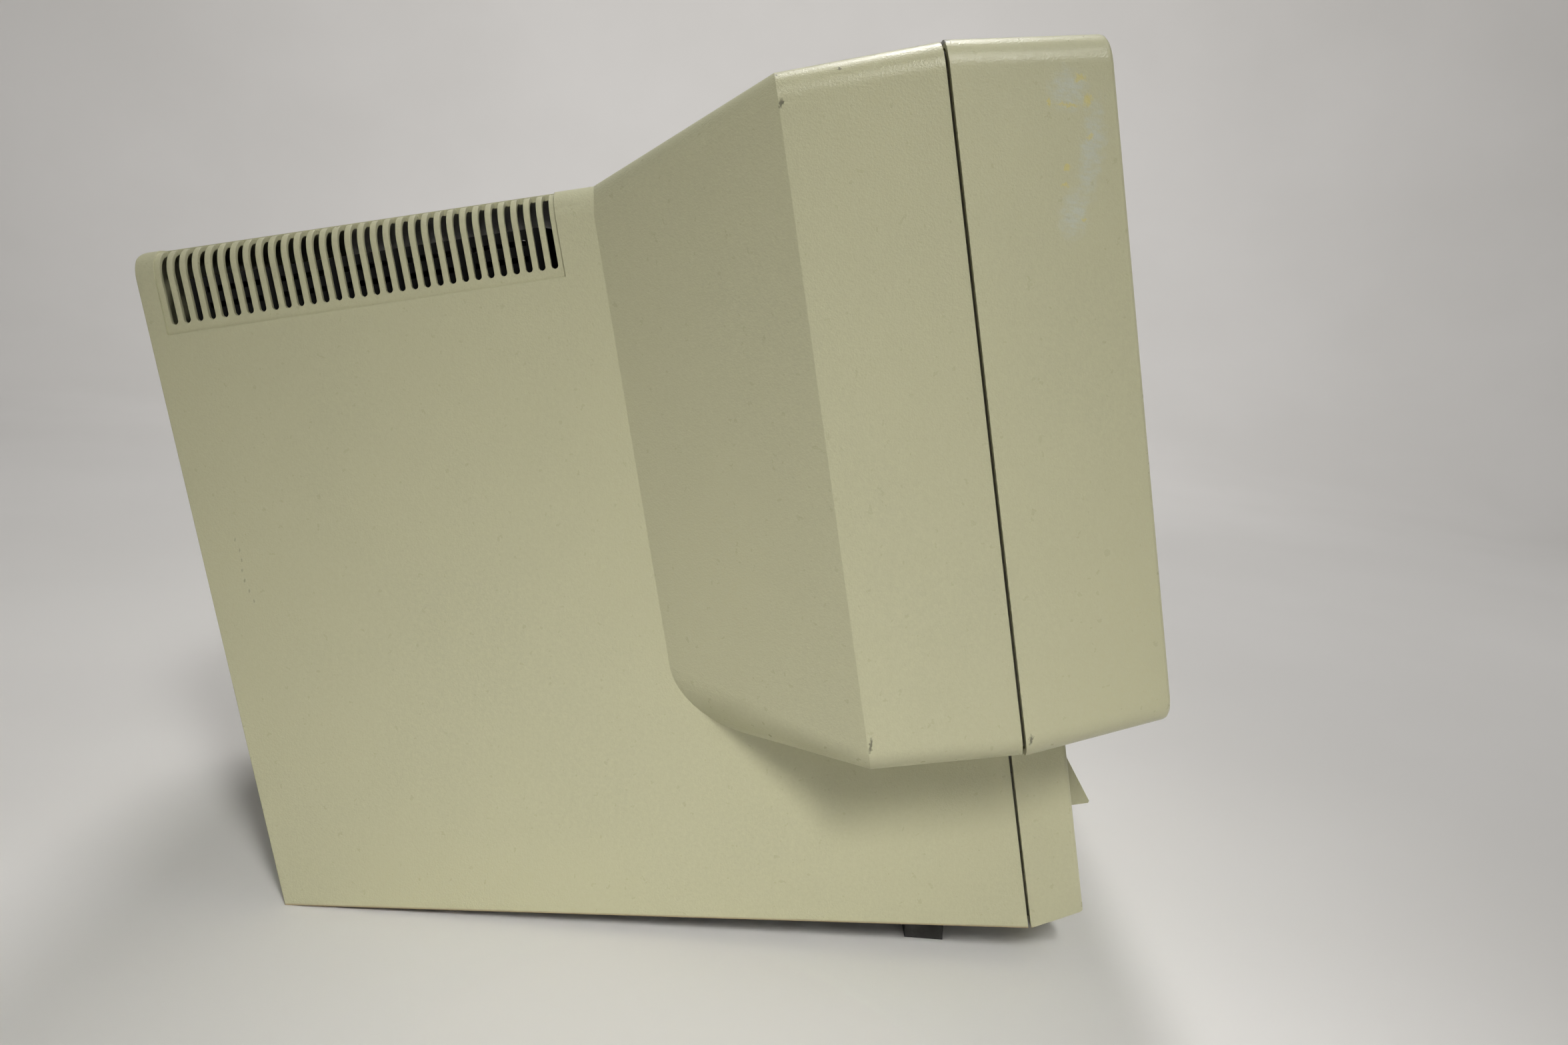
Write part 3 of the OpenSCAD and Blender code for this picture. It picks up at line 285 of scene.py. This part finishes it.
def brushed(name, colour, rough=0.34, stretch=(40.0, 900.0, 900.0)):
    """Rolled or plated metal with fine lines along one axis."""
    tree = Tree(name)
    lines = tree.noise(1.0, 3.0, 0.6, tree.vector("MULTIPLY", tree.place, stretch))
    spots = tree.ramp(tree.noise(90.0, 4.0), 0.45, 0.7)
    tone = tree.mix(spots, rgba(colour), rgba(shade(colour, 0.82)))
    tree.set(Base_Color=tone, Metallic=1.0)
    tree.set(Roughness=tree.ramp(lines, 0.3, 0.7, rough * 0.8, rough * 1.3))
    tree.set(Normal=tree.bump(lines, 0.08, 0.0002, tree.round_edges(0.0003)))
    return tree.material


def rubber(name, colour, rough=0.75):
    tree = Tree(name)
    dust = tree.ramp(tree.noise(60.0, 5.0, 0.7), 0.45, 0.75)
    tree.set(Base_Color=tree.mix(dust, rgba(colour), rgba(tuple(c + 0.035 for c in colour))))
    tree.set(Roughness=tree.ramp(tree.noise(300.0), 0.3, 0.7, rough - 0.08, rough + 0.1))
    tree.set(Specular_IOR_Level=0.3)
    tree.set(Normal=tree.bump(tree.noise(1400.0, 3.0), 0.2, 0.0003, tree.round_edges(0.0008)))
    return tree.material


def screen_glass():
    """Thick tinted faceplate: dark gloss over the dim grey-green phosphor and its black border."""
    tree = Tree("screen_glass")
    centred = tree.vector("SUBTRACT", tree.place, tuple(TUBE_ORIGIN))
    up = tree.vector("DOT_PRODUCT", centred, tuple(TUBE_Z))
    across = tree.add("SeparateXYZ", Vector=centred).outputs["X"]
    past_x = tree.math("SUBTRACT", tree.math("ABSOLUTE", across), PICTURE_X - PICTURE_CORNER)
    past_x = tree.math("MAXIMUM", past_x, 0.0)
    past_z = tree.math("SUBTRACT", tree.math("ABSOLUTE", up), PICTURE_Z - PICTURE_CORNER)
    past_z = tree.math("MAXIMUM", past_z, 0.0)
    past = tree.add("CombineXYZ", X=past_x, Y=past_z).outputs["Vector"]
    outside = tree.vector("LENGTH", past, (0.0, 0.0, 0.0))
    border = tree.ramp(outside, PICTURE_CORNER, PICTURE_CORNER + PICTURE_FADE)
    triads = tree.add("TexWave", {"bands_direction": "X"}, Scale=520.0)
    tree.links.new(tree.place, triads.inputs["Vector"])
    drift = tree.ramp(tree.noise(9.0, 2.0), 0.3, 0.7)
    base = tree.mix(drift, (0.050, 0.060, 0.054, 1.0), (0.062, 0.071, 0.063, 1.0))
    tone = tree.mix(tree.math("MULTIPLY", triads.outputs["Fac"], 0.12), base, (0.09, 0.10, 0.09, 1.0))
    tone = tree.mix(border, tone, (0.012, 0.013, 0.013, 1.0))
    tree.set(Base_Color=tone, IOR=1.54, Coat_Weight=0.8, Coat_Roughness=0.03)
    dust = tree.ramp(tree.noise(40.0, 5.0, 0.7), 0.4, 0.8, 0.08, 0.22)
    tree.set(Roughness=dust)
    return tree.material


def clear_glass(name):
    tree = Tree(name)
    haze = tree.ramp(tree.noise(120.0, 3.0), 0.4, 0.8, 0.02, 0.10)
    tree.set(Base_Color=(0.86, 0.90, 0.89, 1.0), Roughness=haze, IOR=1.5, Transmission_Weight=0.85)
    return tree.material


def wound(name, colour):
    """Enamelled wire laid in turns around the tube axis."""
    tree = Tree(name)
    wave = tree.add("TexWave", {"bands_direction": "Y"}, Scale=420.0, Distortion=0.6, Detail=1.0)
    tree.links.new(tree.place, wave.inputs["Vector"])
    # The dark share between the turns is painted shade in the grooves between the round wires.
    tone = tree.mix(wave.outputs["Fac"], rgba(shade(colour, 0.45)), rgba(colour))
    tree.set(Base_Color=tone, Roughness=tree.ramp(tree.noise(200.0), 0.3, 0.7, 0.28, 0.42))
    tree.set(Metallic=0.35, Coat_Weight=0.5, Coat_Roughness=0.2)
    tree.set(Normal=tree.bump(wave.outputs["Fac"], 0.5, 0.0006))
    return tree.material


def board(name, colour, trace):
    """Circuit board: lacquered sheet with tracks that show through."""
    tree = Tree(name)
    weave = tree.add("TexBrick", Scale=140.0, Mortar_Size=0.12, Mortar=rgba(trace))
    tree.feed(weave.inputs["Color1"], rgba(colour))
    tree.feed(weave.inputs["Color2"], rgba(shade(colour, 0.9)))
    tree.links.new(tree.place, weave.inputs["Vector"])
    fibre = tree.ramp(tree.noise(500.0, 3.0), 0.3, 0.7)
    tone = tree.mix(tree.math("MULTIPLY", fibre, 0.25), weave.outputs["Color"], rgba(shade(colour, 1.3)))
    tree.set(Base_Color=tone, Roughness=tree.ramp(fibre, 0.0, 1.0, 0.28, 0.4), Coat_Weight=0.3)
    tree.set(Normal=tree.bump(weave.outputs["Fac"], 0.15, 0.0001, tree.round_edges(0.0002)))
    return tree.material


CASE = (0.524, 0.514, 0.340)
MATERIALS = {
    "case_front": moulded("case_front", CASE, marks=True),
    "case_rear": moulded("case_rear", CASE, marks=True),
    # The door is a slightly darker copy of the case colour: painted shade for the door, which sits
    # inboard under the head's overhang.
    "door_plastic": moulded("door_plastic", shade(CASE, 0.97)),
    "tray_plastic": brushed("tray_plastic", (0.46, 0.46, 0.45), 0.45),
    "black_plastic": satin("black_plastic", (0.028, 0.028, 0.028), 0.42),
    "white_plastic": satin("white_plastic", (0.72, 0.70, 0.62), 0.4),
    "blue_plastic": satin("blue_plastic", (0.06, 0.12, 0.26), 0.3),
    "capacitor_sleeve": satin("capacitor_sleeve", (0.02, 0.03, 0.10), 0.25),
    "led_lens": satin("led_lens", (0.10, 0.33, 0.07), 0.15, 0.6),
    "rubber_foot": rubber("rubber_foot", (0.045, 0.043, 0.040)),
    "rubber_black": rubber("rubber_black", (0.02, 0.02, 0.02), 0.6),
    "rubber_red": rubber("rubber_red", (0.20, 0.02, 0.012), 0.45),
    "wire_insulation": satin("wire_insulation", (0.45, 0.36, 0.04), 0.35),
    "cable_sheath": rubber("cable_sheath", (0.22, 0.22, 0.22), 0.5),
    "steel_plate": brushed("steel_plate", (0.60, 0.60, 0.61)),
    "screw_steel": brushed("screw_steel", (0.62, 0.62, 0.64), 0.28, (500.0, 500.0, 500.0)),
    "nickel_shell": brushed("nickel_shell", (0.72, 0.71, 0.70), 0.22),
    "brass_blade": brushed("brass_blade", (0.72, 0.58, 0.32), 0.25),
    "aluminium_sink": brushed("aluminium_sink", (0.72, 0.73, 0.75), 0.4),
    "screen_glass": screen_glass(),
    "neck_glass": clear_glass("neck_glass"),
    "graphite_coat": satin("graphite_coat", (0.022, 0.022, 0.024), 0.55, 0.4, 0.12, 300.0),
    # Near-black blackened steel: the shadow mask's own colour; on the inner shield behind the vents the
    # same near-black is painted shade for the dark inside of the case.
    "mask_steel": satin("mask_steel", (0.03, 0.03, 0.032), 0.5, 0.4, 0.05, 900.0, 0.6),
    "gun_metal": brushed("gun_metal", (0.58, 0.56, 0.50), 0.3),
    "copper_wire": wound("copper_wire", (0.52, 0.17, 0.045)),
    "ferrite": satin("ferrite", (0.045, 0.045, 0.048), 0.6, 0.3, 0.15, 700.0),
    "green_board": board("green_board", (0.03, 0.14, 0.05), (0.06, 0.20, 0.07)),
    "brown_board": board("brown_board", (0.30, 0.17, 0.055), (0.36, 0.22, 0.09)),
    "transformer_tape": satin("transformer_tape", (0.55, 0.42, 0.06), 0.25),
    "fuse_glass": clear_glass("fuse_glass"),
    "blank_label": satin("blank_label", (0.58, 0.58, 0.54), 0.55, 0.3, 0.02),
}

# ---------------------------------------------------------------- camera, light and floor


def aim(obj, place, target, roll=0.0):
    direction = (Vector(target) - Vector(place)).normalized()
    turn = direction.to_track_quat("-Z", "Y").to_matrix()
    obj.matrix_world = Matrix.Translation(place) @ (turn @ Matrix.Rotation(roll, 3, "Z")).to_4x4()


def make_camera():
    camera = bpy.data.objects.new("camera", bpy.data.cameras.new("camera"))
    bpy.context.scene.collection.objects.link(camera)
    camera.data.sensor_width = 36.0
    camera.data.lens = 28.85
    yaw, pitch, roll = math.radians(-1.114), math.radians(-10.98), math.radians(4.913)
    place = Vector((-0.693, -0.048, 0.316))
    level = math.cos(pitch)
    ahead = Vector((math.cos(yaw) * level, math.sin(yaw) * level, math.sin(pitch)))
    aim(camera, place, place + ahead, roll)
    bpy.context.scene.camera = camera


def area_light(name, place, target, size, power, colour, spread):
    data = bpy.data.lights.new(name, "AREA")
    data.shape = "RECTANGLE"
    data.size, data.size_y = size
    data.energy = power
    data.color = colour
    data.spread = math.radians(spread)
    light = bpy.data.objects.new(name, data)
    bpy.context.scene.collection.objects.link(light)
    aim(light, place, target)


WARM_WHITE = (1.0, 0.99, 0.96)

# Place, target, size, watts, colour and spread in degrees.
LIGHTS = {
    "key_light": ((-1.610, -0.397, 1.406), (-0.26, -0.03, -0.10), (0.25, 0.8), 1.46, WARM_WHITE, 32),
    "room_light": ((-1.372, -0.333, 1.652), (-0.13, 0.0, 0.12), (0.2, 0.2), 0.30, WARM_WHITE, 180),
    "ceiling_light": ((1.0, 0.0, 2.3), (0.9, 0.0, 0.0), (0.5, 0.5), 28.0, (1.0, 0.985, 0.97), 180),
    "wall_light": ((0.9, 0.0, 1.5), (3.1, 0.0, 1.0), (1.5, 1.0), 11.0, (1.0, 0.98, 0.97), 140),
    "front_light": ((-0.3, -1.2, 2.2), (-0.1, -0.6, 0.0), (1.0, 1.0), 5.5, (1.0, 1.0, 1.0), 180),
    "rear_light": ((-0.3, 1.2, 2.2), (-0.1, 0.6, 0.0), (1.0, 1.0), 2.0, (1.0, 1.0, 1.0), 180),
}


def make_lights():
    for name, values in LIGHTS.items():
        area_light(name, *values)
    world = bpy.data.worlds.new("studio")
    world.use_nodes = True
    background = world.node_tree.nodes["Background"]
    background.inputs["Color"].default_value = (0.92, 0.93, 0.95, 1.0)
    background.inputs["Strength"].default_value = 0.07
    bpy.context.scene.world = world


def matt_paper():
    tree = Tree("paper")
    drift = tree.ramp(tree.noise(2.2, 3.0), 0.35, 0.65)
    tree.set(Base_Color=tree.mix(drift, (0.70, 0.690, 0.672, 1.0), (0.73, 0.72, 0.704, 1.0)))
    tree.set(Roughness=0.85, Normal=tree.bump(tree.noise(300.0, 4.0), 0.05, 0.0005))
    return tree.material


def make_stage():
    """Pale round floor that curves up into a wall on every side, open at the top."""
    profile = [(FLOOR_RADIUS * i / FLOOR_RINGS, 0.0) for i in range(1, FLOOR_RINGS + 1)]
    for i in range(1, COVE_STEPS + 1):
        a = math.pi / 2 * i / COVE_STEPS
        profile.append((FLOOR_RADIUS + COVE_RADIUS * math.sin(a), COVE_RADIUS * (1 - math.cos(a))))
    profile.append((FLOOR_RADIUS + COVE_RADIUS, WALL_HEIGHT))
    mesh = bmesh.new()
    centre = mesh.verts.new((0.0, 0.0, 0.0))
    turns = [2 * math.pi * i / COVE_SIDES for i in range(COVE_SIDES)]
    rings = [[mesh.verts.new((r * math.cos(t), r * math.sin(t), z)) for t in turns] for r, z in profile]
    for i in range(COVE_SIDES):
        j = (i + 1) % COVE_SIDES
        mesh.faces.new((centre, rings[0][i], rings[0][j]))
        for low, high in zip(rings, rings[1:]):
            mesh.faces.new((low[i], high[i], high[j], low[j]))
    data = bpy.data.meshes.new("paper_cove")
    mesh.to_mesh(data)
    mesh.free()
    for face in data.polygons:
        face.use_smooth = True
    data.materials.append(matt_paper())
    paper = bpy.data.objects.new("paper_cove", data)
    bpy.context.scene.collection.objects.link(paper)


bpy.context.scene.view_settings.view_transform = "Standard"
make_camera()
make_lights()
make_stage()

# ---------------------------------------------------------------- CAD nodes


def dress_frame():
    """Smooth shading and a finish for every CAD node."""
    slots = {s["node"]: s["material_slot"] for s in frame["record"]["subparts"]}
    for name, obj in NODES.items():
        obj.data.materials.clear()
        obj.data.materials.append(MATERIALS[slots[name]])
        for face in obj.data.polygons:
            face.use_smooth = True
        weld = obj.modifiers.new("weld", "WELD")
        weld.merge_threshold = WELD_DISTANCE
        split = obj.modifiers.new("edges", "EDGE_SPLIT")
        split.split_angle = SHARP_ANGLE
        normals = obj.modifiers.new("normals", "WEIGHTED_NORMAL")
        normals.weight = NORMAL_WEIGHT


# ---------------------------------------------------------------- printed marks

# An outline is a list of flat faces, drawn in millimetres around the middle of the mark.
STROKE = 0.35


def bar(x0, z0, x1, z1, width=STROKE):
    """Straight stroke."""
    a, b = Vector((x0, z0)), Vector((x1, z1))
    along = (b - a).normalized()
    side = Vector((-along.y, along.x)) * width / 2
    return [[a + side, a - side, b - side, b + side]]


def frame_of(width, height, line=STROKE):
    """Rectangular outline as four mitred strokes."""
    outer = [(x * width / 2, z * height / 2) for x, z in ((1, 1), (-1, 1), (-1, -1), (1, -1))]
    inner = [(x - math.copysign(line, x), z - math.copysign(line, z)) for x, z in outer]
    return [[outer[i], outer[(i + 1) % 4], inner[(i + 1) % 4], inner[i]] for i in range(4)]


def arc(inner, outer, start=0, stop=360, steps=32):
    """Ring or part of a ring; a half disc when inner is 0."""
    turns = [math.radians(start + (stop - start) * i / steps) for i in range(steps + 1)]
    faces = []
    for a, b in zip(turns, turns[1:]):
        near = [(inner * math.cos(t), inner * math.sin(t)) for t in ((b, a) if inner else (a,))]
        faces.append(near + [(outer * math.cos(t), outer * math.sin(t)) for t in (a, b)])
    return faces


def arrow(x, size):
    """Arrow head on the axis that points away from the middle."""
    tip = math.copysign(size, x)
    return [[(x + tip, 0.0), (x, 0.6 * size), (x, -0.6 * size)]]


def rays(count, inner, outer):
    """Strokes that point away from the middle."""
    strokes = []
    for i in range(count):
        c, s = math.cos(2 * math.pi * i / count), math.sin(2 * math.pi * i / count)
        strokes += bar(inner * c, inner * s, outer * c, outer * s)
    return strokes


def sorted_mesh(name, mesh):
    """Mesh data with a fixed order of points and faces; the order in bmesh changes from run to run."""
    points = sorted(tuple(vert.co) for vert in mesh.verts)
    index = {point: i for i, point in enumerate(points)}
    loops = []
    for face in mesh.faces:
        loop = [index[tuple(vert.co)] for vert in face.verts]
        first = loop.index(min(loop))
        loops.append(loop[first:] + loop[:first])
    data = bpy.data.meshes.new(name)
    data.from_pydata(points, [], sorted(loops))
    return data


def printed(name, faces, x, y, z, body, slot, outward=-1):
    """Thin raised ink on a face square to the tube axis, at x, y and z in the tube frame."""
    mesh = bmesh.new()
    for face in faces:
        mesh.faces.new([mesh.verts.new((px / 1000, 0.0, pz / 1000)) for px, pz in face])
    bmesh.ops.remove_doubles(mesh, verts=mesh.verts, dist=1e-6)
    raised = bmesh.ops.extrude_face_region(mesh, geom=mesh.faces[:])
    moved = [item for item in raised["geom"] if isinstance(item, bmesh.types.BMVert)]
    bmesh.ops.translate(mesh, verts=moved, vec=(0.0, outward * INK * 1.5, 0.0))
    for vert in mesh.verts:
        local = vert.co + Vector((x, y - outward * INK / 2, z))
        vert.co = TUBE_ORIGIN + Vector((local.x, 0.0, 0.0)) + TUBE_Y * local.y + TUBE_Z * local.z
    bmesh.ops.recalc_face_normals(mesh, faces=mesh.faces)
    data = sorted_mesh(name, mesh)
    mesh.free()
    data.materials.append(MATERIALS[slot])
    piece = bpy.data.objects.new(name, data)
    bpy.context.scene.collection.objects.link(piece)
    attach(piece, body)


def make_marks():
    """Icons, the knobs' pointers and the empty fields of the rating plate."""
    knobs = ["brightness", "contrast", "position", "width", "hold"]
    icons = {
        "brightness": arc(0.9, 1.3) + rays(8, 1.8, 2.7),
        "contrast": arc(1.9, 2.3) + arc(0.0, 1.9, -90, 90, 20),
        "position": frame_of(6.6, 4.4) + bar(-1.2, 0, 1.2, 0) + arrow(1.2, 1.1) + arrow(-1.2, 1.1),
        "width": bar(-1.2, -2.2, -1.2, 2.2) + bar(1.2, -2.2, 1.2, 2.2)
        + arrow(2.0, 1.3) + arrow(-2.0, 1.3),
        "hold": bar(-3, 1.6, 3, 1.6) + bar(-3, 0.4, 3, -0.4) + bar(-3, -1.6, 3, -1.6),
    }
    icon_z = KNOB_Z - ICON_DROP
    pointer = [[(-0.3, 1.4), (0.3, 1.4), (0.3, 6.0), (-0.3, 6.0)]]
    for i, knob in enumerate(knobs):
        x = (i - 2) * KNOB_PITCH
        printed("icon_" + knob, icons[knob], x, RECESS_BACK, icon_z, "case", "black_plastic")
        printed("pointer_" + knob, pointer, x, KNOB_GROOVE, KNOB_Z, knob, "white_plastic")
    power = arc(1.5, 1.9, -240, 60) + bar(0, 0.9, 0, 2.5)
    printed("icon_power", power, POWER_ICON_X, PEDESTAL_FACE, POWER_ICON_Z, "case", "black_plastic")
    fields = frame_of(84, 44, 0.4)
    for row in (-10, 0, 10):
        fields += bar(-38, row, 38, row, 0.25)
    printed("plate_border", fields, 0.0, PLATE_FACE, PLATE_Z, "case", "black_plastic", outward=1)


dress_frame()
make_marks()
